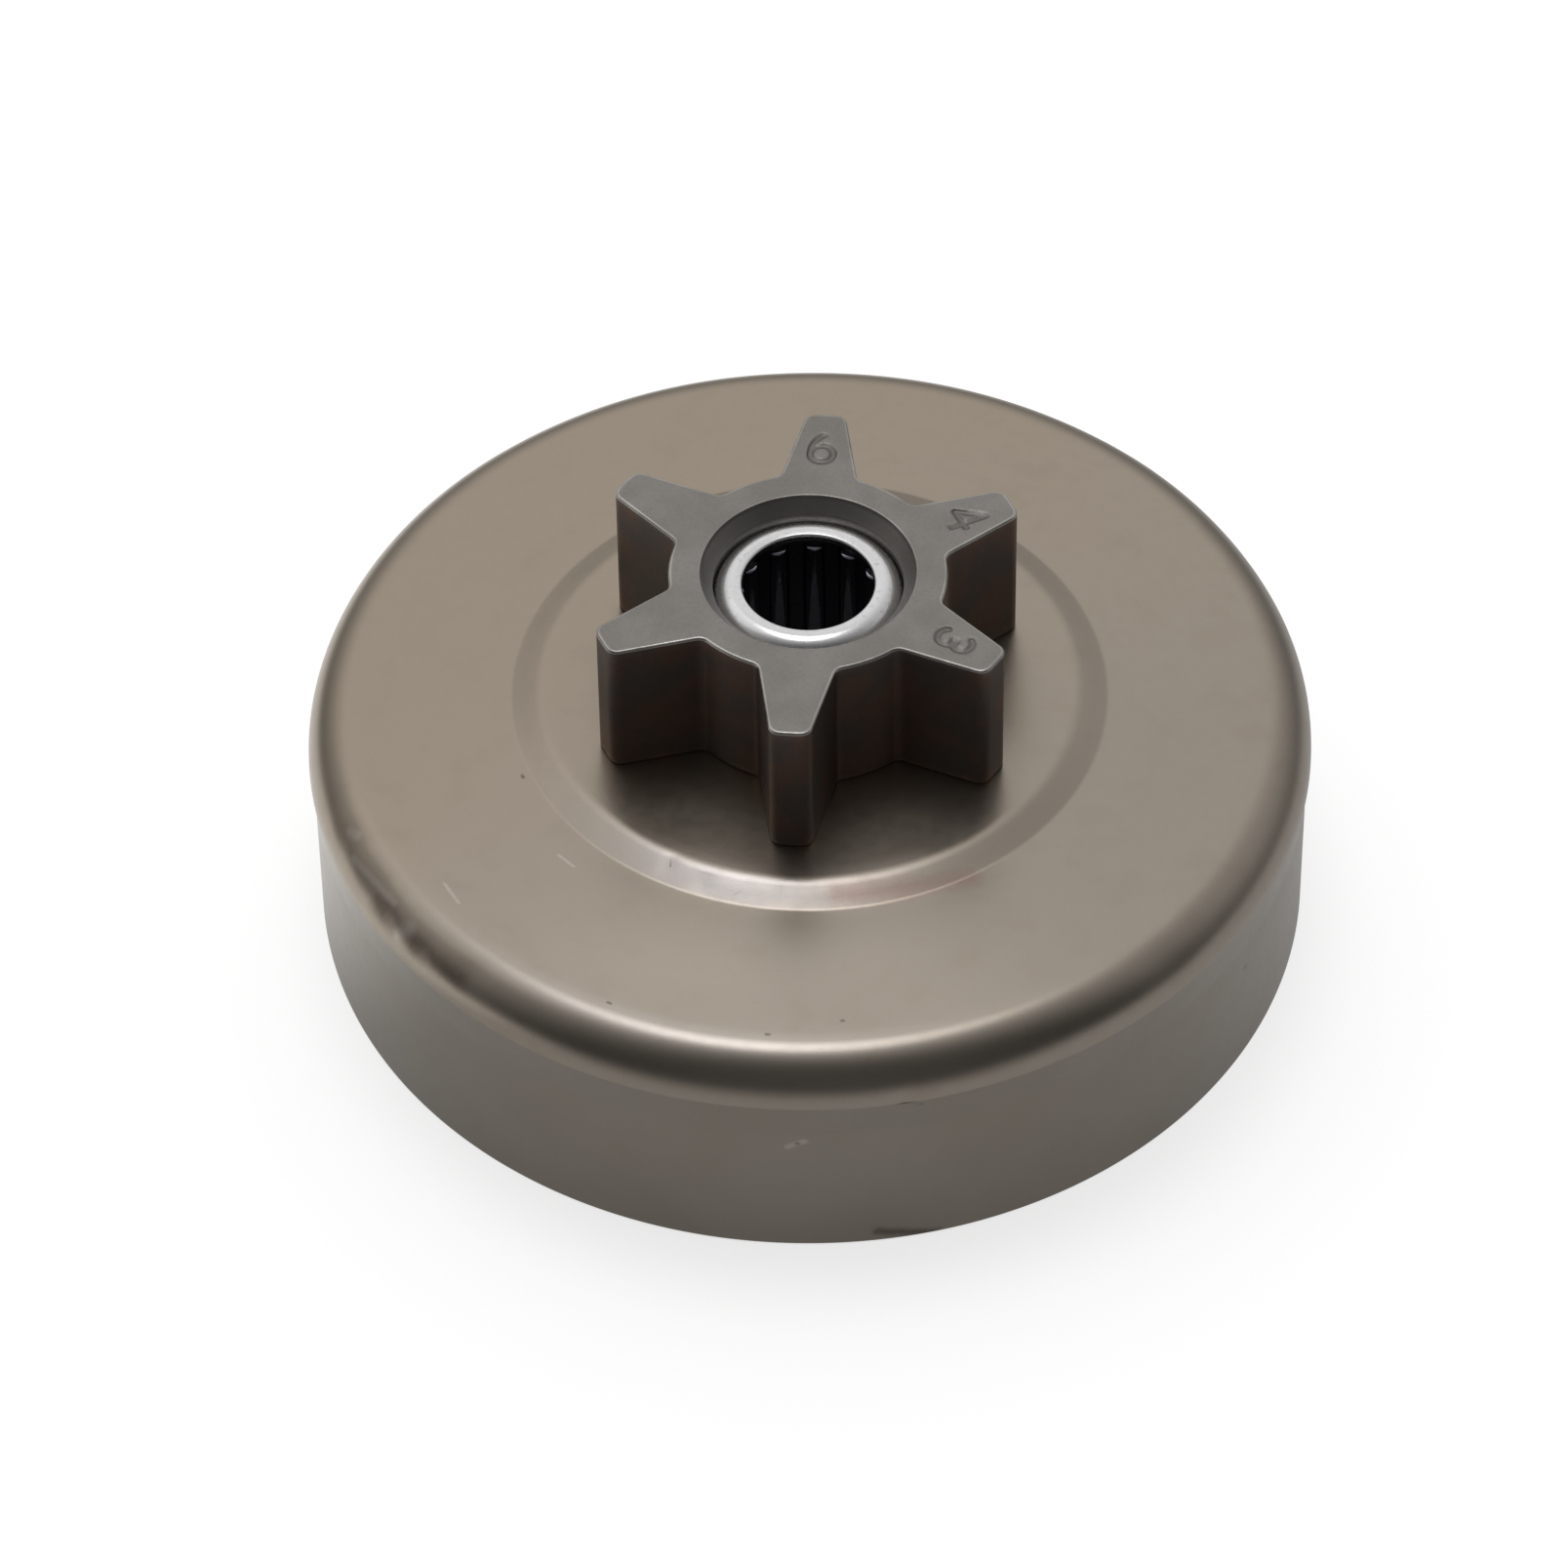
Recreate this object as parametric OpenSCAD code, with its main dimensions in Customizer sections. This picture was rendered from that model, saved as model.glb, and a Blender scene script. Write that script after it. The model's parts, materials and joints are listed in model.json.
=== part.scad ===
// Chainsaw clutch drum: a pressed steel cup, a six tooth spur sprocket brazed into
// its middle, and a drawn cup needle bearing pressed into the sprocket's hub.
// The drum stands on its open rim. The origin is the middle of the rim plane, +Z
// points from the rim to the sprocket, and one tooth points along -Y.

/* [Drum cup] */
// Largest diameter, over the shoulder
drum_d = 64; // [60:0.5:68]
// Height of the shoulder's crest over the rim
shoulder_h = 16.2; // [14:0.1:19]
// Thickness of the sheet
sheet_t = 2; // [1.6:0.1:2.4]
// Outer radius of the shoulder
shoulder_r = 3.1; // [2.6:0.1:4.5]
// Depth of the turned cut on the outside of the wall
turn_cut = 0.25; // [0.1:0.05:0.5]
// Width of the broken edges at the rim
rim_edge = 0.3; // [0.1:0.05:0.5]
// Fall of the drum's face towards the shoulder, in degrees
face_fall = 4; // [1:0.5:6]

/* [Raised seat] */
// Radius of the flat seat under the sprocket
seat_r = 16.6; // [15.5:0.1:18]
// Height of the seat over the foot of its slope
seat_rise = 0.7; // [0.6:0.05:1.2]
// Steepest part of the slope, in degrees
seat_slope = 20; // [17:1:24]
// Rounding at the top of the slope
brink_r = 2.5; // [2.2:0.1:3.5]
// Rounding at the foot of the slope
foot_r = 1; // [0.5:0.1:1.5]

/* [Sprocket] */
// Number of teeth
teeth = 6; // [5:1:7]
// Diameter over the tooth tips
tip_d = 28.4; // [27:0.1:30]
// Diameter of the hub between the teeth
root_d = 17.5; // [17:0.1:19]
// Width of a tooth at its tip, before the corners are rounded
tip_w = 2.5; // [2.2:0.1:3]
// Width of a tooth where it leaves the hub
tooth_w = 4.9; // [4.2:0.1:5.6]
// Rounding of the tip corners
tip_corner_r = 0.8; // [0.3:0.1:1]
// Fillet between a tooth and the hub
root_fillet_r = 0.7; // [0.3:0.1:1]
// Height of the toothed part over its seat
tooth_h = 10.05; // [9:0.05:11]

/* [Hub] */
// Diameter of the spigot that passes through the cup
spigot_d = 16.4; // [15.6:0.1:16.8]
// Radial gap around the spigot that the braze fills
braze_gap = 0.03; // [0.02:0.01:0.06]
// Leg of the braze fillet under the cup's floor
braze_leg = 0.9; // [0.5:0.05:1.1]
// Diameter of the bore's mouth at the sprocket's face
mouth_d = 13.5; // [12.8:0.1:14.5]
// Depth of the mouth's taper
mouth_depth = 0.9; // [0.5:0.05:1.2]
// Length of hub left beyond the bearing's inner end
hub_margin = 0.75; // [0.4:0.05:1.2]

/* [Needle bearing] */
// Outer diameter of the bearing
bearing_d = 12; // [11.8:0.1:12.4]
// Length of the bearing
bearing_l = 12; // [11.5:0.1:13]
// Diameter of the shaft that the needles run on
shaft_d = 8; // [7.6:0.1:8.2]
// Number of needles
needle_n = 12; // [9:1:13]
// Diameter of a needle
needle_d = 1.5; // [1.3:0.05:1.6]
// Running gap between a needle and the raceway
race_gap = 0.02; // [0.01:0.01:0.05]
// Running gap between a needle and its pocket
pocket_gap = 0.05; // [0.03:0.01:0.08]
// Radial gap between a lip of the shell and the shaft
lip_gap = 0.13; // [0.1:0.01:0.25]
// Thickness of the shell's lips
lip_t = 0.5; // [0.35:0.05:0.7]
// Outer rounding at both ends of the shell
shell_corner_r = 0.65; // [0.3:0.05:0.75]
// Radial gap between the cage and the raceway
cage_gap = 0.1; // [0.05:0.01:0.2]
// End gap between the cage and each lip
cage_play = 0.15; // [0.1:0.05:0.3]
// Width of the solid ring between the pockets and each end of the cage
collar_w = 0.4; // [0.3:0.05:0.8]
// Thickness of the flange at each end of the cage
flange_t = 0.25; // [0.15:0.05:0.3]
// Thickness of the cage's bars
bar_t = 0.7; // [0.5:0.05:0.8]
// End gap between a needle and its pocket
needle_play = 0.05; // [0.03:0.01:0.15]

/* [Hidden] */
function needle_name(i) = str("needle_", i < 10 ? "0" : "", i);

$fn = 96;
arc_step = 6;       // degrees between the points of a rounded corner in a profile
edge_break = 0.15;  // chamfer on small inner edges
lead_in = 0.3;      // chamfer at the hub's inner end
needle_end = 0.12;  // chamfer on a needle's ends

drum_r = drum_d / 2;
wall_r = drum_r - turn_cut;
shoulder_z = shoulder_h - shoulder_r;
cage_bar_r = (shaft_d + needle_d) / 2;
race_r = shaft_d / 2 + needle_d + race_gap;
lip_r = shaft_d / 2 + lip_gap;

// The slope from the seat's brink to its foot: two arcs with a straight stretch between.
slope_fall = brink_r * (1 - cos(seat_slope)) + foot_r * (cos(face_fall) - cos(seat_slope));
slope_straight = (seat_rise - slope_fall) / sin(seat_slope);
foot_x = seat_r + (brink_r + foot_r) * sin(seat_slope) + slope_straight * cos(seat_slope)
    - foot_r * sin(face_fall);
face_end_x = drum_r - shoulder_r + shoulder_r * sin(face_fall);
foot_z = shoulder_z + shoulder_r * cos(face_fall) + (face_end_x - foot_x) * tan(face_fall);
seat_z = foot_z + seat_rise;
floor_z = seat_z - sheet_t;

face_z = seat_z + tooth_h;
bearing_top = face_z - mouth_depth;
bearing_z = bearing_top - bearing_l;
hub_z = bearing_z - hub_margin;
// The braze can't climb further than the spigot reaches below the cup's floor.
braze_w = min(braze_leg, floor_z - hub_z - edge_break);

cage_z = bearing_z + lip_t + cage_play;
cage_l = bearing_l - 2 * (lip_t + cage_play);
pocket_l = cage_l - 2 * collar_w;
needle_l = pocket_l - 2 * needle_play;
needle_z = cage_z + collar_w + needle_play;

// Points of an arc about c, in order from angle a to angle b.
function arc(c, r, a, b) =
    let (n = max(2, ceil(abs(b - a) / arc_step)))
    [for (i = [0:n]) let (t = a + (b - a) * i / n) c + r * [cos(t), sin(t)]];

// The cup's face from the wall inwards to the seat, as a contour that lies d under
// the outer skin, so that the sheet keeps its thickness round every bend.
function face_contour(d) = concat(
    arc([drum_r - shoulder_r, shoulder_z], shoulder_r - d, 0, 90 - face_fall),
    arc([foot_x + foot_r * sin(face_fall), foot_z + foot_r * cos(face_fall)], foot_r + d,
        270 - face_fall, 270 - seat_slope),
    arc([seat_r, seat_z - brink_r], brink_r - d, 90 - seat_slope, 90)
);

module drum_cup() {
    hole_r = spigot_d / 2 + braze_gap;
    inner_r = drum_r - sheet_t;
    outer_skin = face_contour(0);
    inner_skin = face_contour(sheet_t);
    color("#9e9384")
    rotate_extrude()
    polygon(concat(
        [[inner_r, rim_edge], [inner_r + rim_edge, 0]],
        [[wall_r - rim_edge, 0], [wall_r, rim_edge]],
        [[wall_r, shoulder_z - turn_cut]],
        outer_skin,
        [[hole_r, seat_z], [hole_r, floor_z]],
        [for (i = [len(inner_skin) - 1:-1:0]) inner_skin[i]]
    ));
}

// One tooth that points along +X, with square corners.
module tooth_outline() {
    root_x = sqrt(pow(root_d / 2, 2) - pow(tooth_w / 2, 2));
    taper = (tooth_w - tip_w) / 2 / (tip_d / 2 - root_x);
    far_x = tip_d / 2 + 1;
    far_w = tip_w - 2 * taper;
    polygon([
        [0, -tooth_w / 2], [root_x, -tooth_w / 2], [far_x, -far_w / 2],
        [far_x, far_w / 2], [root_x, tooth_w / 2], [0, tooth_w / 2]
    ]);
}

module sprocket_outline() {
    offset(r = -root_fillet_r, $fn = 40) offset(delta = root_fillet_r)
    offset(r = tip_corner_r, $fn = 40) offset(delta = -tip_corner_r)
    intersection() {
        circle(d = tip_d, $fn = 120);
        union() {
            circle(d = root_d);
            for (i = [0:teeth - 1]) rotate(360 / teeth * i - 90) tooth_outline();
        }
    }
}

module spur_sprocket() {
    bore_r = bearing_d / 2;
    color("#827e7a")
    difference() {
        union() {
            translate([0, 0, seat_z]) linear_extrude(tooth_h) sprocket_outline();
            translate([0, 0, hub_z]) cylinder(d = spigot_d, h = seat_z - hub_z + tooth_h / 2);
        }
        translate([0, 0, hub_z - 1]) cylinder(r = bore_r, h = face_z - hub_z + 2);
        translate([0, 0, bearing_top]) cylinder(r1 = bore_r, r2 = mouth_d / 2, h = mouth_depth);
        translate([0, 0, hub_z]) cylinder(r1 = bore_r + lead_in, r2 = bore_r, h = lead_in);
    }
}

// The hollow fillet of braze in the corner between the spigot and the cup's floor.
module braze_ring() {
    r = spigot_d / 2;
    color("#b87f55")
    rotate_extrude()
    polygon(concat(
        [[r, floor_z]],
        arc([r + braze_w, floor_z - braze_w], braze_w, 180, 90)
    ));
}

module bearing_shell() {
    shell_r = bearing_d / 2;
    corner_x = shell_r - shell_corner_r;
    top = bearing_top;
    color("#c8c8cc")
    rotate_extrude()
    polygon(concat(
        [[lip_r, bearing_z + edge_break], [lip_r + edge_break, bearing_z]],
        arc([corner_x, bearing_z + shell_corner_r], shell_corner_r, -90, 0),
        arc([corner_x, top - shell_corner_r], shell_corner_r, 0, 90),
        [[lip_r + edge_break, top], [lip_r, top - edge_break]],
        [[lip_r, top - lip_t], [race_r, top - lip_t]],
        [[race_r, bearing_z + lip_t], [lip_r, bearing_z + lip_t]]
    ));
}

// Moves its children to the axis of needle i.
module at_needle(i) {
    rotate(360 / needle_n * (i - 1)) translate([cage_bar_r, 0, 0]) children();
}

module bearing_cage() {
    inner_r = cage_bar_r - bar_t / 2;
    outer_r = race_r - cage_gap;
    color("#8d8f94")
    difference() {
        translate([0, 0, cage_z])
        rotate_extrude()
        polygon([
            [inner_r, 0], [outer_r, 0], [outer_r, flange_t],
            [inner_r + bar_t, flange_t], [inner_r + bar_t, cage_l - flange_t],
            [outer_r, cage_l - flange_t], [outer_r, cage_l], [inner_r, cage_l]
        ]);
        for (i = [1:needle_n]) at_needle(i)
            translate([0, 0, cage_z + collar_w])
            cylinder(r = needle_d / 2 + pocket_gap, h = pocket_l);
    }
}

module needle(i) {
    r = needle_d / 2;
    color("#d6d6da")
    at_needle(i)
    translate([0, 0, needle_z])
    rotate_extrude($fn = 48)
    polygon([
        [0, 0], [r - needle_end, 0], [r, needle_end],
        [r, needle_l - needle_end], [r - needle_end, needle_l], [0, needle_l]
    ]);
}

drum_cup();
spur_sprocket();
braze_ring();
bearing_shell();
bearing_cage();
for (i = [1:needle_n])
    needle(i);
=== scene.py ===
import json
import math

import bmesh
import bpy
import numpy as np
from mathutils import Matrix, Vector


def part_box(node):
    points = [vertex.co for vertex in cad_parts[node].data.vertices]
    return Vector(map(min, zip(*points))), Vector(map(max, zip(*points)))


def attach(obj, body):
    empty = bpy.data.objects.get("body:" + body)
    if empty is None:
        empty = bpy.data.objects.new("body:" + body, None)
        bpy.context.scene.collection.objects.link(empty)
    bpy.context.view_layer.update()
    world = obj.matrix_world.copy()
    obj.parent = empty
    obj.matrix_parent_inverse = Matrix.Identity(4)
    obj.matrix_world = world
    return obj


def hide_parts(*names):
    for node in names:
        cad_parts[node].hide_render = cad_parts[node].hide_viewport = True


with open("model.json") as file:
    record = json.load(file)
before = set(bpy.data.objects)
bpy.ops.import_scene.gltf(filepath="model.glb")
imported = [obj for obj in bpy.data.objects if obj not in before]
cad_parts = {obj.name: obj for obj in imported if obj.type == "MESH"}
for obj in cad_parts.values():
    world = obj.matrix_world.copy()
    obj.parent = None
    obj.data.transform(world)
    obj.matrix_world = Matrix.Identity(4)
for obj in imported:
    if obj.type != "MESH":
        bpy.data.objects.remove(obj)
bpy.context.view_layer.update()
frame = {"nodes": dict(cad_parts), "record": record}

# Sizes are in millimetres until a mesh is made. What the frame can tell is read from it.
MM = 0.001
mounts = {mount["name"]: mount for mount in frame["record"]["mounts"]}


def box_mm(node):
    low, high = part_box(node)
    return Vector(low) / MM, Vector(high) / MM


drum_low, drum_high = box_mm("drum_cup")
sprocket_low, sprocket_high = box_mm("spur_sprocket")
shell_low, shell_high = box_mm("bearing_shell")

drum_r = min(-drum_low.x, -drum_low.y, drum_high.x, drum_high.y)
seat_z = drum_high.z
face_z = sprocket_high.z
hub_z = sprocket_low.z
bearing_z = shell_low.z
bearing_top = shell_high.z
track_r = mounts["friction_track"]["dims"]["r_mm"]
lip_r = mounts["shaft_bore"]["dims"]["r_mm"]

# The drum cup's section, as in the part's source
sheet_t = 2.0
shoulder_r = 3.1
shoulder_z = 13.1
turn_cut = 0.25
crease = 0.07
rim_edge = 0.3
face_fall = 4.0
seat_r = 16.6
seat_rise = 0.7
seat_slope = 20.0
brink_r = 2.5
foot_r = 1.0
spigot_r = 8.2
braze_gap = 0.03

# The sprocket's outline
teeth = 6
tip_r = 14.2
root_r = 8.75
tip_w = 2.5
tooth_w = 4.9
tip_corner_r = 0.8
root_fillet_r = 0.7
mouth_r = 6.75
mouth_round = 0.12
bore_r = 6.0
lead_in = 0.3
edge_round = 0.18
spigot_edge = 0.15

# The needle bearing
shell_corner_r = 0.65
lip_round_r = 1.35
lip_crown = 0.06
lip_t = 0.5
race_r = 5.52
needle_count = 12
needle_r = 0.75
needle_end_r = 0.22
needle_dome = 0.03

# The camera, found from the drum's outline. Its distances were found in drum radii.
nominal_r = 32.0
view_azimuth = 5.4
view_elevation = 46.428
view_roll = -0.832
view_distance = 16.0746 * nominal_r
view_right = -0.0557 * nominal_r
view_up = 0.1792 * nominal_r
focal_pixels = 8105.0
image_pixels = 1607.0
sensor_mm = 36.0


def turn(azimuth, elevation=0.0):
    """A unit vector. Azimuth 0 points along -Y, the camera's side, and turns towards +X."""
    a, e = math.radians(azimuth), math.radians(elevation)
    return Vector((math.sin(a) * math.cos(e), -math.cos(a) * math.cos(e), math.sin(e)))


def make_camera():
    back = turn(view_azimuth, view_elevation)
    level = Vector((0, 0, 1)).cross(back).normalized()
    up = back.cross(level)
    roll = math.radians(view_roll)
    right = math.cos(roll) * level + math.sin(roll) * up
    top = -math.sin(roll) * level + math.cos(roll) * up
    place = (back * view_distance + right * view_right + top * view_up) * MM
    data = bpy.data.cameras.new("camera")
    data.sensor_width = sensor_mm
    data.lens = focal_pixels / image_pixels * sensor_mm
    data.clip_start = 0.01
    data.clip_end = 20
    camera = bpy.data.objects.new("camera", data)
    axes = Matrix((right, top, back)).transposed().to_4x4()
    camera.matrix_world = Matrix.Translation(place) @ axes
    bpy.context.collection.objects.link(camera)
    bpy.context.scene.camera = camera


# Meshes


def arc(centre, radius, start, end, step=6.0):
    """Points of an arc from one angle to another, in degrees."""
    count = max(2, math.ceil(abs(end - start) / step))
    angles = np.radians(np.linspace(start, end, count + 1))
    return [(centre[0] + radius * math.cos(t), centre[1] + radius * math.sin(t)) for t in angles]


def meet(p, p_angle, q, q_angle):
    """Where the line through p at p_angle meets the line through q at q_angle."""
    a = np.array([math.cos(math.radians(p_angle)), math.sin(math.radians(p_angle))])
    b = np.array([math.cos(math.radians(q_angle)), math.sin(math.radians(q_angle))])
    t, _ = np.linalg.solve(np.array([a, -b]).T, np.array(q) - np.array(p))
    return tuple(np.array(p) + t * a)


def rounded(corners, spacing=0.5, closed=True):
    """A path through corners (x, y, radius), each rounded, with points along its straight parts."""
    points = []
    count = len(corners)
    for i, (x, y, radius) in enumerate(corners):
        here = np.array([x, y])
        before = np.array(corners[i - 1][:2])
        after = np.array(corners[(i + 1) % count][:2])
        u, w = before - here, after - here
        u, w = u / np.linalg.norm(u), w / np.linalg.norm(w)
        half = math.acos(np.clip(u @ w, -1, 1)) / 2
        if radius <= 0 or (not closed and i in (0, count - 1)):
            points.append(here)
            continue
        reach = radius / math.tan(half)
        middle = here + (u + w) / np.linalg.norm(u + w) * radius / math.sin(half)
        start, end = here + u * reach - middle, here + w * reach - middle
        sweep = math.pi - 2 * half
        turn_way = np.sign(start[0] * end[1] - start[1] * end[0])
        steps = max(3, math.ceil(math.degrees(sweep) / 5))
        for k in range(steps + 1):
            t = turn_way * sweep * k / steps
            c, s = math.cos(t), math.sin(t)
            points.append(middle + np.array([c * start[0] - s * start[1], s * start[0] + c * start[1]]))
    path = []
    last = len(points) if closed else len(points) - 1
    for i in range(last):
        a, b = points[i], points[(i + 1) % len(points)]
        pieces = max(1, math.ceil(np.linalg.norm(b - a) / spacing))
        path += [a + (b - a) * k / pieces for k in range(pieces)]
    if not closed:
        path.append(points[-1])
    return np.array(path)


def grid_object(name, rings, body, material, closed=True, marks=None):
    """A piece whose rings of points are joined in order. rings has the shape (rings, columns, 3)."""
    n, m, _ = rings.shape
    i = np.arange(n if closed else n - 1)[:, None]
    j = np.arange(m)[None, :]
    below, above = i * m, (i + 1) % n * m
    faces = np.stack([below + j, below + (j + 1) % m, above + (j + 1) % m, above + j], -1)
    mesh = bpy.data.meshes.new(name)
    mesh.from_pydata((rings.reshape(-1, 3) * MM).tolist(), [], faces.reshape(-1, 4).tolist())
    for key, values in (marks or {}).items():
        layer = mesh.attributes.new(key, "FLOAT", "POINT")
        layer.data.foreach_set("value", np.ascontiguousarray(values, np.float32).ravel())
    mesh.shade_smooth()
    mesh.materials.append(material)
    piece = bpy.data.objects.new(name, mesh)
    bpy.context.collection.objects.link(piece)
    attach(piece, body)
    return piece


def revolve(profile, columns):
    """Rings of points round the Z axis for a profile of (r, z) points."""
    t = np.linspace(0, 2 * math.pi, columns, endpoint=False)
    r, z = profile[:, :1], profile[:, 1:]
    return np.stack([r * np.cos(t), r * np.sin(t), z + 0 * t], -1)


def smooth_step(low, high, x):
    t = np.clip((x - low) / (high - low), 0, 1)
    return t * t * (3 - 2 * t)


def drum_contour(depth):
    """The corners from the shoulder inwards to the seat, on a skin that lies depth under the outer one."""
    fall, slope = -face_fall, -seat_slope
    low = np.array([drum_r - shoulder_r, shoulder_z])
    crest = low + shoulder_r * np.array([math.sin(-math.radians(fall)), math.cos(math.radians(fall))])
    brink = np.array([seat_r, seat_z])
    tangent = brink_r * math.tan(math.radians(seat_slope) / 2)
    slope_top = np.array([seat_r + tangent, seat_z])

    def under(angle):
        t = math.radians(angle)
        return depth * np.array([math.sin(t), -math.cos(t)])

    wall = np.array([drum_r - depth, 0])
    on_face = crest + under(fall)
    on_slope = slope_top + under(slope)
    on_seat = brink + under(0)
    return [
        (*meet(wall, 90, on_face, fall), shoulder_r - depth),
        (*meet(on_face, fall, on_slope, slope), foot_r + depth),
        (*meet(on_slope, slope, on_seat, 0), brink_r - depth),
    ]


def drum_profile():
    wall_r = drum_r - turn_cut
    hole_r = spigot_r + braze_gap
    outer = drum_contour(0)
    inner = drum_contour(sheet_t)
    return rounded([
        (track_r, 0, rim_edge),
        (wall_r, 0, rim_edge),
        (wall_r, shoulder_z - 2.6, 6.0),
        (drum_r - crease, shoulder_z - 3 * crease, 0.04),
        (drum_r, shoulder_z - 2 * crease, 0.04),
        *outer,
        (hole_r, seat_z, 0.1),
        (hole_r, seat_z - sheet_t, 0.3),
        *reversed(inner),
    ], spacing=0.8)


def on_drum(azimuth, r, z):
    t = math.radians(azimuth)
    return Vector((r * math.cos(t), r * math.sin(t), z))


# Wear as the photo shows it, and painted shade in SHADE_MARKS. Each mark is a stroke between two places,
# given by azimuth in degrees, radius and height, and has a width.
LIGHT_MARKS = [
    ((-151.4, 31.26, 15.11), (-142.3, 30.87, 15.49), 0.5),
    ((-154.9, 30.80, 15.54), (-153.5, 30.60, 15.70), 0.7),
    ((-139.4, 31.60, 14.50), (-138.2, 31.20, 15.20), 0.9),
    ((-140.3, 27.75, 16.29), (-136.4, 27.97, 16.27), 0.2),
    ((-133.5, 21.00, 16.76), (-129.7, 20.98, 16.76), 0.2),
    ((-87.8, 31.75, 9.30), (-86.0, 31.75, 9.85), 0.45),
]
DARK_MARKS = [
    ((-86.9, 31.75, 9.57), (-86.7, 31.75, 9.60), 0.28),
    ((-26.0, 31.75, 8.37), (-25.8, 31.75, 8.40), 0.3),
    ((-75.1, 31.75, 13.20), (-72.9, 31.75, 12.58), 0.25),
    ((-77.8, 31.75, 1.00), (-71.1, 31.75, 0.15), 0.7),
    ((-81.3, 27.64, 16.30), (-81.0, 27.64, 16.30), 0.2),
    ((-110.9, 28.68, 16.22), (-110.5, 28.68, 16.22), 0.2),
    ((-153.4, 19.48, 16.87), (-152.9, 19.48, 16.87), 0.25),
    ((-90.6, 28.71, 16.22), (-90.2, 28.71, 16.22), 0.2),
    ((-115.0, 17.40, 17.50), (-114.4, 17.80, 17.35), 0.14),
    ((-107.8, 18.10, 17.30), (-103.7, 18.13, 17.29), 0.12),
    ((-100.0, 18.43, 17.15), (-99.0, 18.10, 17.28), 0.12),
    ((-91.3, 18.15, 17.28), (-90.9, 17.70, 17.42), 0.12),
]
# Painted shade over dents in the shoulder
SHADE_MARKS = [
    ((-144.5, 31.55, 14.60), (-141.0, 31.50, 14.70), 1.4),
    ((-136.4, 31.50, 14.80), (-129.0, 31.45, 14.90), 1.3),
]
BROWN_MARKS = [
    ((-79.4, 18.00, 17.34), (-66.0, 18.40, 17.15), 1.5),
    ((-66.0, 18.40, 17.15), (-53.6, 19.10, 16.90), 1.3),
]
# Places pushed in: azimuth, radius, height, width of the dent and its depth
DENTS = [
    (-147.0, 31.30, 15.00, 1.6, 0.12),
    (-142.0, 31.60, 14.60, 0.9, 0.14),
    (-135.6, 31.60, 14.60, 0.9, 0.12),
    (-155.0, 31.20, 15.20, 1.1, 0.08),
    (-128.0, 31.20, 15.20, 1.4, 0.06),
    (-86.9, 31.75, 9.57, 0.35, 0.08),
    (-26.0, 31.75, 8.37, 0.35, 0.06),
    (-75.0, 31.90, 13.30, 0.6, 0.06),
    (-109.0, 31.75, 8.10, 2.6, 0.05),
    (-40.0, 31.20, 15.20, 1.8, 0.05),
    (-107.0, 18.10, 17.30, 0.5, 0.04),
    (-115.0, 17.60, 17.45, 0.5, 0.04),
    (-91.0, 18.10, 17.30, 0.4, 0.03),
]
wave_depth = 0.02


def make_drum(material):
    profile = drum_profile()
    rings = revolve(profile, 360)
    r, z = profile[:, 0], profile[:, 1]
    along = np.roll(profile, -1, 0) - np.roll(profile, 1, 0)
    along /= np.linalg.norm(along, axis=1)[:, None]
    t = np.linspace(0, 2 * math.pi, rings.shape[1], endpoint=False)
    normal = np.stack([
        along[:, 1:] * np.cos(t),
        along[:, 1:] * np.sin(t),
        -along[:, :1] + 0 * t,
    ], -1)
    depth = np.zeros(rings.shape[:2])
    for azimuth, at_r, at_z, width, push in DENTS:
        far = np.linalg.norm(rings - np.array(on_drum(azimuth, at_r, at_z)), axis=-1)
        depth += push * np.exp(-(far / width) ** 2)
    high = smooth_step(8, 12, z)[:, None]
    wave = 1 + 0.5 * np.sin(5 * t + 0.4 * r[:, None]) + 0.5 * np.sin(11 * t + 1 + 0.9 * z[:, None])
    depth += wave_depth * high * wave * smooth_step(21, 27, r)[:, None]
    rings -= normal * depth[..., None]
    outside = (r > drum_r - turn_cut - 0.1) & (z > 0.2)
    turned = outside & (z < shoulder_z - 1.5 * crease)
    # Painted highlight: the shoulder's crest and the seat's slope get a lighter, neutral colour on the side
    # towards the camera.
    crest = np.exp(-((r - 29.6) / 0.7) ** 2) * (z > 15)
    slope_highlight = smooth_step(16.7, 17.2, r) * (1 - smooth_step(18.6, 19.1, r)) * (z > 16.5)
    highlight_window = np.exp(-((np.degrees(t) - 257) / 26) ** 2)
    marks = {
        "turned": np.repeat(turned[:, None], len(t), 1),
        "bright": (0.6 * crest[:, None] + slope_highlight[:, None]) * highlight_window,
    }
    piece = grid_object("pressed_cup", rings, "root", material, marks=marks)
    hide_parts("drum_cup")
    return piece


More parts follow.
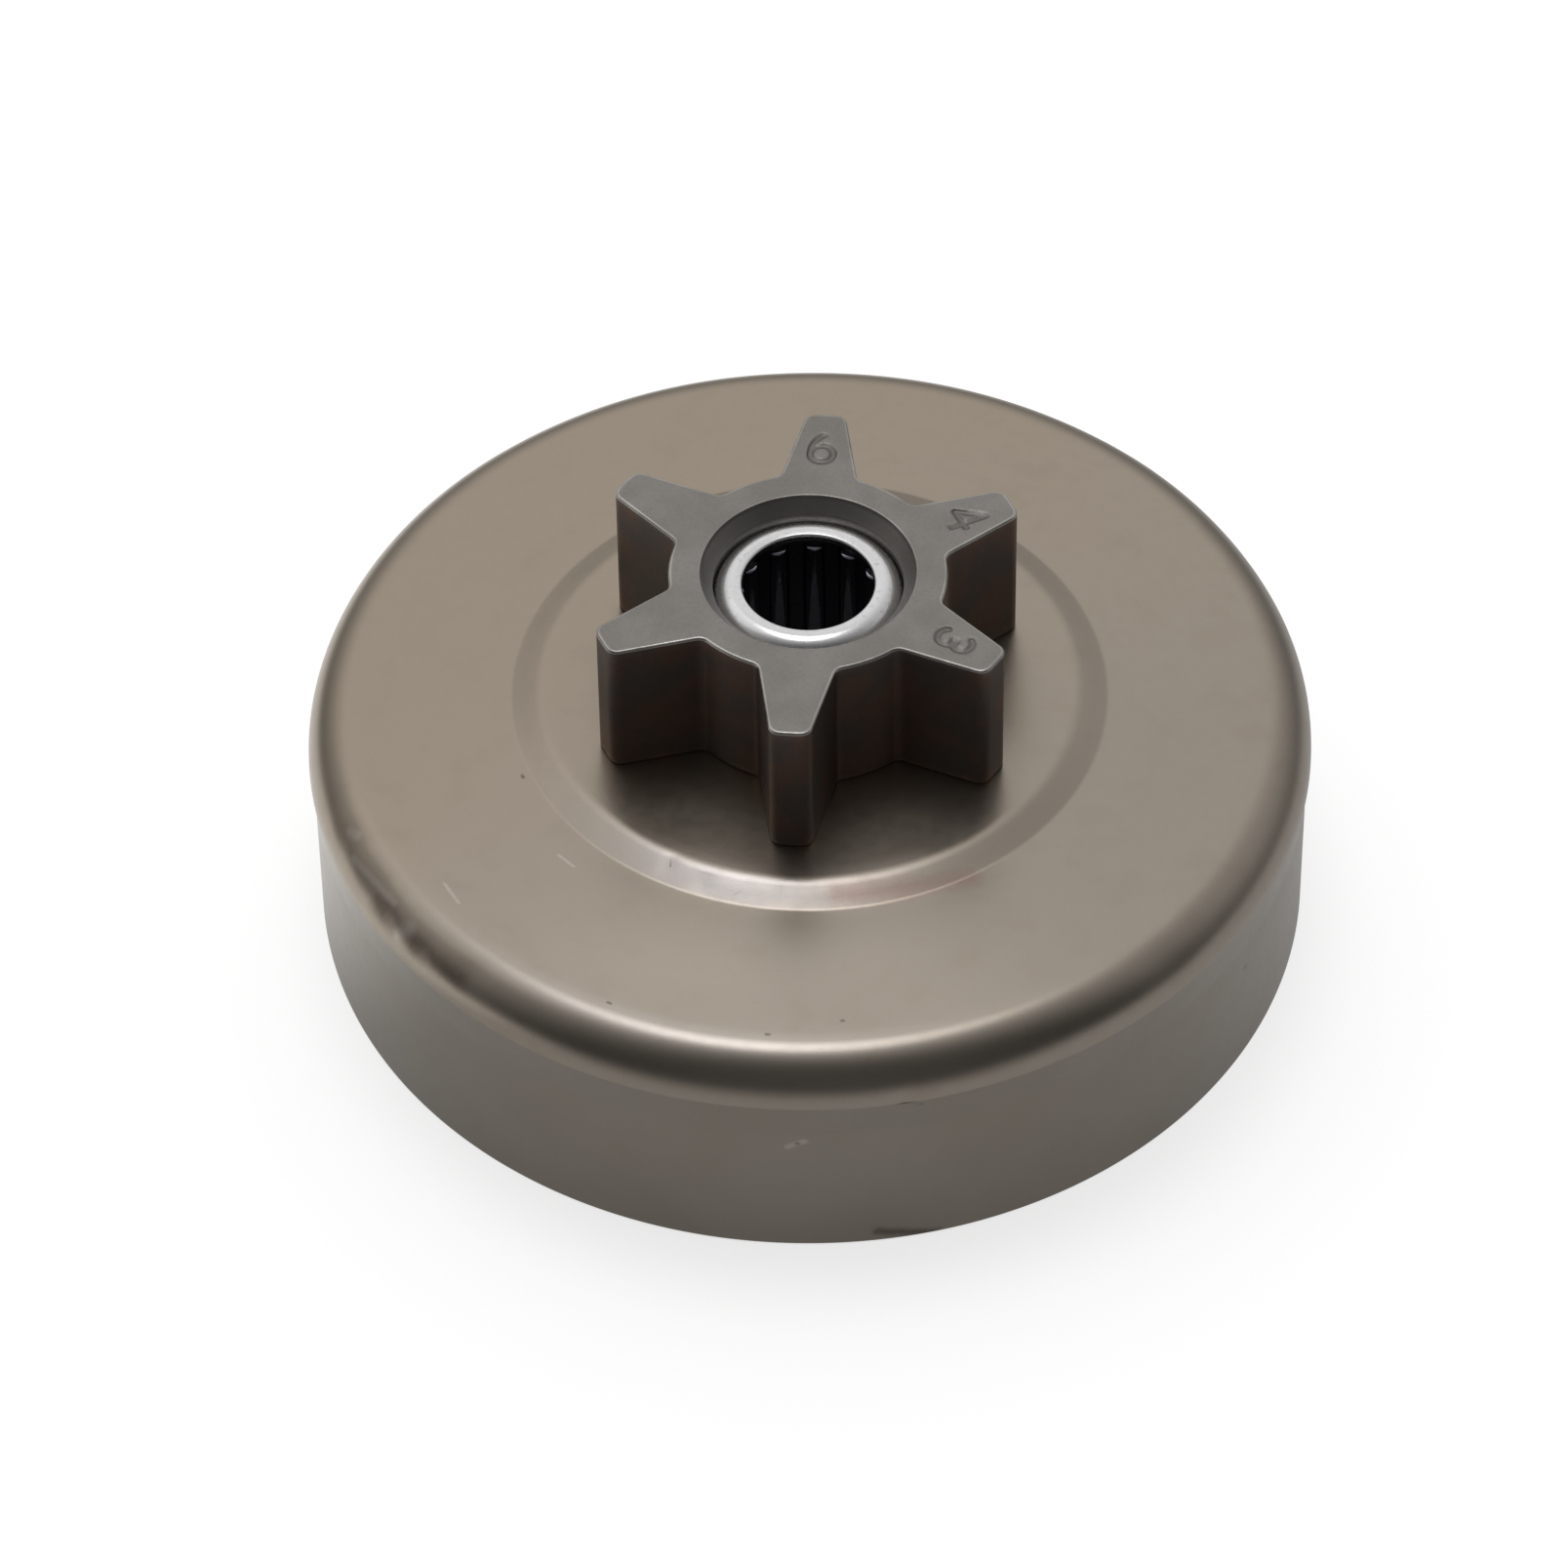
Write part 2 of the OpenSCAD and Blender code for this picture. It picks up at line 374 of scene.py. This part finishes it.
def half_tooth():
    """Points and outward normals from the middle of a tip to the middle of the next root, tooth along +X."""
    root_x = math.sqrt(root_r ** 2 - (tooth_w / 2) ** 2)
    taper = (tooth_w - tip_w) / 2 / (tip_r - root_x)
    lean = math.atan(taper)
    width_at_0 = tooth_w / 2 + taper * root_x

    def fillet_centre(offset, distance):
        c = width_at_0 + offset / math.cos(lean)
        a, b = 1 + taper ** 2, -2 * taper * c
        x = (-b + math.sqrt(b * b - 4 * a * (c * c - distance ** 2))) / (2 * a)
        return np.array([x, c - taper * x])

    def sector(centre, radius, start, end, step, outward=1):
        count = max(2, math.ceil(abs(end - start) / step))
        t = np.radians(np.linspace(start, end, count + 1))
        way = np.stack([np.cos(t), np.sin(t)], -1)
        return np.array(centre) + radius * way, outward * way

    normal_angle = 90 - math.degrees(lean)
    tip = fillet_centre(-tip_corner_r, tip_r - tip_corner_r)
    root = fillet_centre(root_fillet_r, root_r + root_fillet_r)
    tip_angle = math.degrees(math.atan2(tip[1], tip[0]))
    root_angle = math.degrees(math.atan2(root[1], root[0]))
    parts = [
        sector((0, 0), tip_r, 0, tip_angle, 1.0),
        sector(tip, tip_corner_r, tip_angle, normal_angle, 9),
        sector(root, root_fillet_r, normal_angle + 180, root_angle + 180, 9, outward=-1),
        sector((0, 0), root_r, root_angle, 180 / teeth, 1.2),
    ]
    flank_from, flank_to = parts[1][0][-1], parts[2][0][0]
    steps = np.linspace(0, 1, 30)[1:-1, None]
    flank = flank_from + (flank_to - flank_from) * steps
    way = np.array([math.cos(math.radians(normal_angle)), math.sin(math.radians(normal_angle))])
    parts.insert(2, (flank, np.repeat(way[None], len(flank), 0)))
    points = np.concatenate([parts[0][0]] + [p[0][(0 if k == 1 else 1):] for k, p in enumerate(parts[1:])])
    normals = np.concatenate([parts[0][1]] + [p[1][(0 if k == 1 else 1):] for k, p in enumerate(parts[1:])])
    return points, normals


def sprocket_outline():
    points, normals = half_tooth()
    flip = np.array([1, -1])
    whole = np.concatenate([points[::-1] * flip, points[1:]])[1:]
    ways = np.concatenate([normals[::-1] * flip, normals[1:]])[1:]
    out, out_ways = [], []
    for k in range(teeth):
        t = math.radians(360 / teeth * k - 90)
        spin = np.array([[math.cos(t), math.sin(t)], [-math.sin(t), math.cos(t)]])
        out.append(whole @ spin)
        out_ways.append(ways @ spin)
    return np.concatenate(out), np.concatenate(out_ways)


# Single figures that a die maker stamps. Each is a list of strokes inside a box 1 wide and 1.5 high.
FIGURES = {
    "3": [arc((0.42, 1.08), 0.4, 150, -90), arc((0.42, 0.42), 0.42, 90, -150)],
    "4": [[(0.75, 0), (0.75, 1.5), (0, 0.5), (1, 0.5)]],
    "6": [arc((0.5, 0.48), 0.46, 0, 360), arc((1.25, 0.6), 1.2, 175, 128)],
}
# Each figure with the direction of its tooth in degrees
STAMPS = [("3", -30), ("4", 30), ("6", 90)]
stamp_size = 1.6
stamp_at_r = 11.0
stamp_depth = 0.12
stamp_stroke = 0.24


def stroke_distance(points, strokes):
    best = np.full(len(points), 1e9)
    for stroke in strokes:
        for a, b in zip(stroke[:-1], stroke[1:]):
            a, b = np.array(a), np.array(b)
            along = np.clip((points - a) @ (b - a) / max((b - a) @ (b - a), 1e-9), 0, 1)
            best = np.minimum(best, np.linalg.norm(points - a - along[:, None] * (b - a), axis=1))
    return best


def stamp_mask(x, y):
    """1 in the stamped strokes and 0 outside them, over the sprocket's face."""
    mask = np.zeros(x.shape)
    for figure, azimuth in STAMPS:
        t = math.radians(azimuth)
        out_x, out_y = math.cos(t), math.sin(t)
        along = x * out_x + y * out_y - stamp_at_r
        across = -x * out_y + y * out_x
        glyph = np.stack([0.5 - across / stamp_size, 0.75 + along / stamp_size], -1)
        far = stroke_distance(glyph.reshape(-1, 2), FIGURES[figure]).reshape(x.shape) * stamp_size
        mask = np.maximum(mask, 1 - smooth_step(stamp_stroke * 0.45, stamp_stroke * 1.1, far))
    return mask


def make_sprocket(material):
    outline, ways = sprocket_outline()
    count = len(outline)
    angle = np.arctan2(outline[:, 1], outline[:, 0])
    e = edge_round
    rings, edge, flank = [], [], []

    def add(xy, z, edge_value=0.0, flank_value=0.0):
        level = np.broadcast_to(np.asarray(z, float), (count,))
        rings.append(np.column_stack([xy, level]))
        edge.append(np.full(count, edge_value))
        flank.append(np.full(count, flank_value))

    def circle(r):
        return np.stack([r * np.cos(angle), r * np.sin(angle)], -1)

    add(circle(bore_r), hub_z + 3)
    add(circle(bore_r), hub_z + lead_in + 0.02)
    add(circle(bore_r + lead_in), hub_z)
    add(circle(bore_r + lead_in + 0.1), hub_z)
    add(circle(spigot_r - 2 * spigot_edge), hub_z)
    for t in (0, 30, 60, 90):
        s, c = math.sin(math.radians(t)), math.cos(math.radians(t))
        add(circle(spigot_r - spigot_edge * (1 - s)), hub_z + spigot_edge * (1 - c))
    add(circle(spigot_r), seat_z - 0.02)
    add(circle(spigot_r + 0.02), seat_z)
    for t in (0, 45, 90):
        s, c = math.sin(math.radians(t)), math.cos(math.radians(t))
        add(outline - ways * 0.1 * (1 - s), seat_z + 0.1 * (1 - c), 0, 1)
    for share in np.linspace(0, 1, 16)[1:]:
        add(outline, seat_z + 0.1 + (face_z - e - seat_z - 0.1) * share, 0, 1)
    for t in (15, 30, 45, 60, 75, 90):
        s, c = math.sin(math.radians(t)), math.cos(math.radians(t))
        add(outline - ways * e * (1 - c), face_z - e * (1 - s), 1 if 10 < t < 85 else 0.4, 0)
    rim = outline - ways * e
    rim_r = np.linalg.norm(rim, axis=1)
    rim_way = rim / rim_r[:, None]
    inner = mouth_r + mouth_round
    steps = 72
    for k in range(1, steps + 1):
        share = k / steps
        xy = rim_way * (rim_r + (inner - rim_r) * share)[:, None]
        add(xy, face_z - stamp_depth * stamp_mask(xy[:, 0], xy[:, 1]))
    stamped_rings = (len(rings) - steps, len(rings))
    angle = np.arctan2(rim[:, 1], rim[:, 0])
    for t in (25, 50):
        s, c = math.sin(math.radians(t)), math.cos(math.radians(t))
        add(circle(inner - mouth_round * s), face_z - mouth_round * (1 - c), 0.8)
    mouth_floor = bearing_top - 0.02
    for share in (0, 0.2, 0.4, 0.6, 0.8, 1):
        start_r, start_z = mouth_r + 0.02, face_z - 0.08
        add(circle(start_r + (bore_r + 0.06 - start_r) * share), start_z + (mouth_floor - start_z) * share)
    add(circle(bore_r), mouth_floor - 0.06)
    add(circle(bore_r), bearing_top - 3)
    rings = np.array(rings)
    stamp = np.zeros(rings.shape[:2])
    a, b = stamped_rings
    stamp[a:b] = stamp_mask(rings[a:b, :, 0], rings[a:b, :, 1])
    marks = {"edge": np.array(edge), "flank": np.array(flank), "stamp": stamp}
    piece = grid_object("tooth_sprocket", rings, "root", material, marks=marks)
    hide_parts("spur_sprocket")
    return piece


def make_shell(material):
    inner = lip_r
    crest_r = bore_r - lip_round_r
    profile = rounded([
        (bore_r, bearing_z, shell_corner_r),
        (bore_r, bearing_top, lip_round_r),
        (crest_r - 0.05, bearing_top, 0.6),
        (inner, bearing_top - lip_crown, 0.22),
        (inner, bearing_top - lip_t, 0.05),
        (race_r, bearing_top - lip_t, 0.05),
        (race_r, bearing_z + lip_t, 0.05),
        (inner, bearing_z + lip_t, 0.05),
        (inner, bearing_z + lip_crown, 0.22),
    ], spacing=0.25)
    piece = grid_object("drawn_shell", revolve(profile, 192), "root", material)
    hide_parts("bearing_shell")
    return piece


def make_needle(number, material):
    """A roller with ground, slightly domed ends, in place of its CAD node."""
    node = f"needle_{number:02d}"
    low, high = box_mm(node)
    centre = (low + high) / 2
    profile = rounded([
        (0.02, low.z, 0),
        (needle_r, low.z + needle_dome, needle_end_r),
        (needle_r, high.z - needle_dome, needle_end_r),
        (0.02, high.z, 0),
    ], spacing=0.8, closed=False)
    rings = revolve(profile, 40)
    rings[..., 0] += centre.x
    rings[..., 1] += centre.y
    piece = grid_object(f"roller_{number:02d}_ground", rings, f"roller_{number:02d}", material, closed=False)
    bm_close(piece)
    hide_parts(node)


def bm_close(piece):
    """Closes the small round openings at a piece's ends."""
    bm = bmesh.new()
    bm.from_mesh(piece.data)
    open_edges = [edge for edge in bm.edges if edge.is_boundary]
    bmesh.ops.holes_fill(bm, edges=open_edges)
    bmesh.ops.recalc_face_normals(bm, faces=bm.faces)
    bm.to_mesh(piece.data)
    bm.free()


def make_braze(material):
    low, high = box_mm("braze_ring")
    leg = high.z - low.z
    t = np.radians(np.linspace(180, 90, 10))
    fillet = [(spigot_r + leg + leg * math.cos(a), high.z - leg + leg * math.sin(a)) for a in t]
    profile = np.array([(spigot_r, high.z - 0.01)] + fillet)
    piece = grid_object("braze_fillet", revolve(profile, 192), "root", material)
    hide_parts("braze_ring")
    return piece


# Materials


class Finish:
    """A material and short ways to add and join its nodes."""

    def __init__(self, name):
        self.material = bpy.data.materials.new(name)
        self.material.use_nodes = True
        self.tree = self.material.node_tree
        self.tree.nodes.clear()
        output = self.tree.nodes.new("ShaderNodeOutputMaterial")
        self.shader = self.tree.nodes.new("ShaderNodeBsdfPrincipled")
        self.tree.links.new(self.shader.outputs[0], output.inputs[0])
        place = self.tree.nodes.new("ShaderNodeTexCoord").outputs["Object"]
        self.place = self.vector("SCALE", place, scale=1 / MM)

    def put(self, socket, value):
        if hasattr(value, "is_linked") or isinstance(value, bpy.types.NodeSocket):
            self.tree.links.new(value, socket)
        elif value is not None:
            socket.default_value = value

    def set(self, **values):
        for key, value in values.items():
            self.put(self.shader.inputs[key.replace("_", " ").title().replace("Ior", "IOR")], value)

    def vector(self, operation, a, b=None, scale=None):
        node = self.tree.nodes.new("ShaderNodeVectorMath")
        node.operation = operation
        self.put(node.inputs[0], a)
        self.put(node.inputs[1], b)
        if scale is not None:
            node.inputs["Scale"].default_value = scale
        gives_number = operation in ("LENGTH", "DOT_PRODUCT")
        return node.outputs["Value"] if gives_number else node.outputs[0]

    def math(self, operation, a, b=None, c=None):
        node = self.tree.nodes.new("ShaderNodeMath")
        node.operation = operation
        for socket, value in zip(node.inputs, (a, b, c)):
            self.put(socket, value)
        return node.outputs[0]

    def ramp(self, value, low, high, to_low=0.0, to_high=1.0):
        node = self.tree.nodes.new("ShaderNodeMapRange")
        node.interpolation_type = "SMOOTHSTEP"
        for socket, item in zip(node.inputs, (value, low, high, to_low, to_high)):
            self.put(socket, item)
        return node.outputs[0]

    def mix(self, share, a, b):
        node = self.tree.nodes.new("ShaderNodeMix")
        node.data_type = "RGBA"
        self.put(node.inputs[0], share)
        self.put(node.inputs[6], a)
        self.put(node.inputs[7], b)
        return node.outputs[2]

    def noise(self, scale, detail=2.0):
        """Noise from 0 to 1 whose features are about 1/scale millimetres wide."""
        node = self.tree.nodes.new("ShaderNodeTexNoise")
        self.put(node.inputs["Vector"], self.place)
        node.inputs["Scale"].default_value = scale
        node.inputs["Detail"].default_value = detail
        return node.outputs[0]

    def layer(self, name):
        node = self.tree.nodes.new("ShaderNodeAttribute")
        node.attribute_name = name
        return node.outputs["Fac"]

    def strokes(self, marks):
        """1 inside any of the marks, fading to 0 round them with an uneven edge."""
        fray = self.math("MULTIPLY", self.noise(2.5, 3), 0.5)
        total = None
        for start, end, width in marks:
            a, b = on_drum(*start), on_drum(*end)
            from_a = self.vector("SUBTRACT", self.place, a)
            share = self.math("DIVIDE", self.vector("DOT_PRODUCT", from_a, b - a), (b - a).length_squared)
            share = self.math("MINIMUM", self.math("MAXIMUM", share, 0.0), 1.0)
            node = self.tree.nodes.new("ShaderNodeCombineXYZ")
            for socket, part in zip(node.inputs, b - a):
                self.put(socket, self.math("MULTIPLY", share, part))
            far = self.vector("LENGTH", self.vector("SUBTRACT", from_a, node.outputs[0]))
            near = self.math("ADD", self.math("DIVIDE", far, width), fray)
            mask = self.ramp(near, 0.25, 1.1, 1.0, 0.0)
            total = mask if total is None else self.math("MAXIMUM", total, mask)
        return total

    def bump(self, height, strength, distance):
        node = self.tree.nodes.new("ShaderNodeBump")
        node.inputs["Strength"].default_value = strength
        node.inputs["Distance"].default_value = distance * MM
        self.put(node.inputs["Height"], height)
        self.put(self.shader.inputs["Normal"], node.outputs[0])


def colour(r, g, b):
    return (r, g, b, 1.0)


def drum_finish():
    f = Finish("drum_steel")
    cloud = f.noise(0.1, 3)
    mottle = f.noise(1.3, 4)
    side = f.math("ADD", f.vector("DOT_PRODUCT", f.place, turn(40) / drum_r), f.math("MULTIPLY", cloud, 0.6))
    base = f.mix(f.ramp(side, -0.4, 1.0), colour(0.300, 0.252, 0.198), colour(0.298, 0.260, 0.219))
    base = f.mix(f.ramp(mottle, 0.45, 0.75, 0.0, 0.15), base, colour(0.27, 0.231, 0.187))
    stain = f.noise(0.35, 4)
    base = f.mix(f.ramp(stain, 0.5, 0.8, 0.0, 0.5), base, colour(0.27, 0.228, 0.182))
    wall = f.mix(f.ramp(cloud, 0.3, 0.7), colour(0.23, 0.203, 0.170), colour(0.25, 0.222, 0.190))
    base = f.mix(f.layer("turned"), base, wall)
    # Painted highlight on the shoulder's crest and the seat's slope, on the side towards the camera.
    base = f.mix(f.math("MULTIPLY", f.layer("bright"), 0.8), base, colour(0.40, 0.375, 0.37))
    base = f.mix(f.math("MULTIPLY", f.strokes(BROWN_MARKS), 0.6), base, colour(0.27, 0.19, 0.16))
    # Painted shade over dents in the shoulder.
    base = f.mix(f.math("MULTIPLY", f.strokes(SHADE_MARKS), 0.6), base, colour(0.17, 0.135, 0.105))
    base = f.mix(f.math("MULTIPLY", f.strokes(LIGHT_MARKS), 0.4), base, colour(0.50, 0.46, 0.41))
    base = f.mix(f.math("MULTIPLY", f.strokes(DARK_MARKS), 0.75), base, colour(0.08, 0.065, 0.055))
    f.set(base_color=base, metallic=1.0)
    f.set(roughness=f.ramp(mottle, 0.3, 0.7, 0.295, 0.32))
    f.bump(f.noise(6.0, 3), 0.25, 0.01)
    return f.material


def sprocket_finish():
    f = Finish("sprocket_steel")
    cloud = f.noise(0.35, 3)
    grain = f.noise(7.0, 3)
    top = f.mix(f.ramp(cloud, 0.3, 0.7), colour(0.19, 0.178, 0.165), colour(0.22, 0.207, 0.194))
    top = f.mix(f.ramp(grain, 0.5, 0.8, 0.0, 0.3), top, colour(0.15, 0.14, 0.13))
    side = f.mix(f.ramp(cloud, 0.35, 0.65), colour(0.15, 0.13, 0.122), colour(0.2, 0.135, 0.11))
    base = f.mix(f.layer("flank"), top, side)
    # Painted shade darkens the stamped figures.
    base = f.mix(f.math("MULTIPLY", f.layer("stamp"), 0.45), base, colour(0.09, 0.085, 0.08))
    rubbed = f.math("MULTIPLY", f.layer("edge"), f.ramp(cloud, 0.3, 0.7, 0.3, 0.8))
    base = f.mix(rubbed, base, colour(0.5, 0.48, 0.45))
    f.set(base_color=base, metallic=1.0)
    worn = f.math("MULTIPLY", f.layer("edge"), -0.15)
    f.set(roughness=f.math("ADD", f.ramp(grain, 0.3, 0.7, 0.42, 0.5), worn))
    f.bump(grain, 0.3, 0.012)
    return f.material


def bright_finish(name, base, roughness):
    f = Finish(name)
    grain = f.noise(3.0, 3)
    dark = tuple(c * 0.75 for c in base)
    f.set(base_color=f.mix(f.ramp(grain, 0.55, 0.8), colour(*base), colour(*dark)), metallic=1.0)
    f.set(roughness=f.ramp(grain, 0.3, 0.7, roughness, roughness + 0.08))
    f.bump(f.noise(9.0, 2), 0.15, 0.005)
    return f.material


# The floor's own grey, its glow for the camera, and the glow that the metal sees: round the
# drum, under the drum and at the drum's left. The patch is squeezed along X.
floor_pale = 0.5
floor_glow = 0.72
patch_glow = 0.33
under_glow = 0.07
left_gain = 2.6
patch_r = 40.0
patch_squeeze = 0.5
floor_drop = 0.02


def floor_finish():
    """A pale floor. The camera sees it white but for the shadow.

    The metal sees a glowing patch round the drum, a painted reflection that is dim under the drum and
    brighter on the left.
    """
    f = Finish("floor_white")
    path = f.tree.nodes.new("ShaderNodeLightPath")
    rays = [path.outputs[key] for key in ("Is Camera Ray", "Is Glossy Ray", "Is Transmission Ray")]
    near = f.ramp(f.vector("LENGTH", f.place), track_r, drum_r, under_glow, 1.0)
    reach = f.vector("LENGTH", f.vector("MULTIPLY", f.place, (patch_squeeze, 1, 1)))
    patch = f.math("MULTIPLY", near, f.ramp(reach, patch_r, 3 * patch_r, 1.0, 0.0))
    left = f.vector("DOT_PRODUCT", f.place, turn(view_azimuth - 125))
    patch = f.math("MULTIPLY", patch, f.ramp(left, 0.45 * drum_r, 1.05 * drum_r, 1.0, left_gain))
    seen = f.math("MULTIPLY", f.math("MAXIMUM", rays[1], rays[2]), f.math("MULTIPLY", patch, patch_glow))
    seen = f.math("MAXIMUM", seen, f.math("MULTIPLY", rays[0], floor_glow))
    f.set(base_color=colour(floor_pale, floor_pale, floor_pale), roughness=1.0, specular_ior_level=0.0)
    f.set(emission_color=colour(1, 1, 1), emission_strength=seen)
    # Seen from below, the floor is clear, so that the cup's inside shows.
    from_below = f.tree.nodes.new("ShaderNodeNewGeometry").outputs["Backfacing"]
    f.set(alpha=f.math("SUBTRACT", 1.0, from_below))
    return f.material


# Floor and light


def make_floor():
    half = 3.0
    mesh = bpy.data.meshes.new("floor")
    level = -floor_drop * MM
    corners = [(-half, -half, level), (half, -half, level), (half, half, level), (-half, half, level)]
    mesh.from_pydata(corners, [], [(0, 1, 2, 3)])
    mesh.materials.append(floor_finish())
    floor = bpy.data.objects.new("floor", mesh)
    bpy.context.collection.objects.link(floor)


def make_softbox(name, azimuth, elevation, distance, width, brightness):
    """A round lamp that faces the drum. Azimuth is its direction as seen from the camera's side."""
    data = bpy.data.lights.new(name, "AREA")
    data.shape = "DISK"
    data.size = width
    data.energy = brightness * math.pi * math.pi * (width / 2) ** 2
    lamp = bpy.data.objects.new(name, data)
    way = turn(view_azimuth + azimuth, elevation)
    lamp.location = way * distance
    lamp.rotation_mode = "QUATERNION"
    lamp.rotation_quaternion = way.to_track_quat("Z", "Y")
    bpy.context.collection.objects.link(lamp)


def make_world():
    """A studio that is bright behind the drum and dim on the camera's side."""
    world = bpy.data.worlds.new("studio")
    bpy.context.scene.world = world
    world.use_nodes = True
    tree = world.node_tree
    tree.nodes.clear()
    output = tree.nodes.new("ShaderNodeOutputWorld")
    light = tree.nodes.new("ShaderNodeBackground")
    tree.links.new(light.outputs[0], output.inputs[0])
    place = tree.nodes.new("ShaderNodeTexCoord").outputs["Generated"]

    def along(way):
        node = tree.nodes.new("ShaderNodeVectorMath")
        node.operation = "DOT_PRODUCT"
        node.inputs[1].default_value = way
        tree.links.new(place, node.inputs[0])
        return node.outputs["Value"]

    def ramp(value, low, high, to_low, to_high):
        node = tree.nodes.new("ShaderNodeMapRange")
        node.interpolation_type = "SMOOTHSTEP"
        for socket, item in zip(list(node.inputs)[1:], (low, high, to_low, to_high)):
            if hasattr(item, "is_linked"):
                tree.links.new(item, socket)
            else:
                socket.default_value = item
        tree.links.new(value, node.inputs[0])
        return node.outputs[0]

    height = along((0, 0, 1))
    rear = ramp(height, 0.65, 0.9, ramp(height, 0.0, 0.6, 0.6, 1.38), 0.95)
    graded = ramp(along(turn(view_azimuth + 184)), -0.62, 0.3, 0.17, rear)
    aside = tree.nodes.new("ShaderNodeMath")
    aside.operation = "ABSOLUTE"
    tree.links.new(along(turn(view_azimuth + 94)), aside.inputs[0])
    narrowed = tree.nodes.new("ShaderNodeMath")
    narrowed.operation = "MULTIPLY"
    tree.links.new(graded, narrowed.inputs[0])
    tree.links.new(ramp(aside.outputs[0], 0.15, 0.75, 1.0, 0.6), narrowed.inputs[1])
    path = tree.nodes.new("ShaderNodeLightPath").outputs["Is Camera Ray"]
    white = ramp(path, 0.0, 1.0, narrowed.outputs[0], 1.0)
    tree.links.new(white, light.inputs["Strength"])


make_camera()
make_world()
make_softbox("overhead", 190, 77, 0.6, 0.25, 3.2)
make_softbox("left", 238, 56, 0.6, 0.4, 0.4)
make_floor()
make_drum(drum_finish())
make_sprocket(sprocket_finish())
make_shell(bright_finish("shell_steel", (0.6, 0.6, 0.6), 0.2))
needle_steel = bright_finish("needle_steel", (0.30, 0.31, 0.35), 0.12)
for number in range(1, needle_count + 1):
    make_needle(number, needle_steel)
make_braze(bright_finish("braze_copper", (0.55, 0.25, 0.12), 0.3))
cage = frame["nodes"]["bearing_cage"]
cage_steel = bright_finish("cage_steel", (0.09, 0.09, 0.10), 0.35)
for slot in cage.material_slots:
    slot.material = cage_steel

bpy.context.scene.view_settings.view_transform = "Standard"
